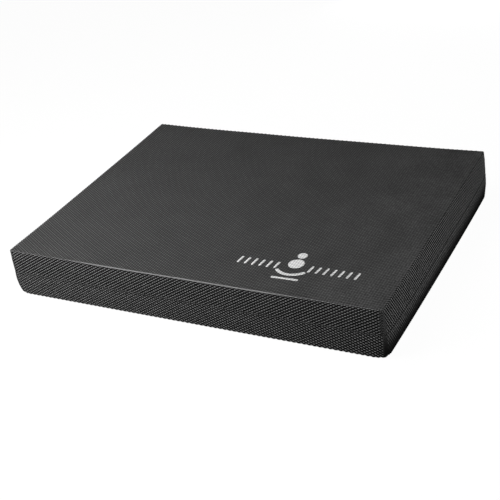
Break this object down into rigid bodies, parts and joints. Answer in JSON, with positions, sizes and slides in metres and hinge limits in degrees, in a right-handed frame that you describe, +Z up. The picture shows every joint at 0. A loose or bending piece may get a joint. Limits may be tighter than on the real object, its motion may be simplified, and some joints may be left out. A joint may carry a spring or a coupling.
{
  "type": "balance pad",
  "caption": "Thick soft foam block with a dimpled non-slip skin, laid on the floor and stood on to train balance.",
  "frame": {"origin": "middle of the underside, on the floor", "axes": "+X along the pad's long side, to the right seen from the side that the mark faces; +Y from front to back; +Z up, from the floor to the face that is stood on"},
  "size_m": [0.475, 0.36, 0.06],
  "materials": {
    "skin": "matt, embossed with small close-set bumps",
    "foam_core": "fine closed-cell foam",
    "bond": "dark adhesive film",
    "ink": "matt screen-printed ink"
  },
  "bodies": {
    "root": {"upper_skin": "skin", "upper_foam_core": "foam_core", "bond_layer": "bond", "lower_foam_core": "foam_core", "lower_skin": "skin", "printed_mark": "ink"}
  },
  "joints": []
}
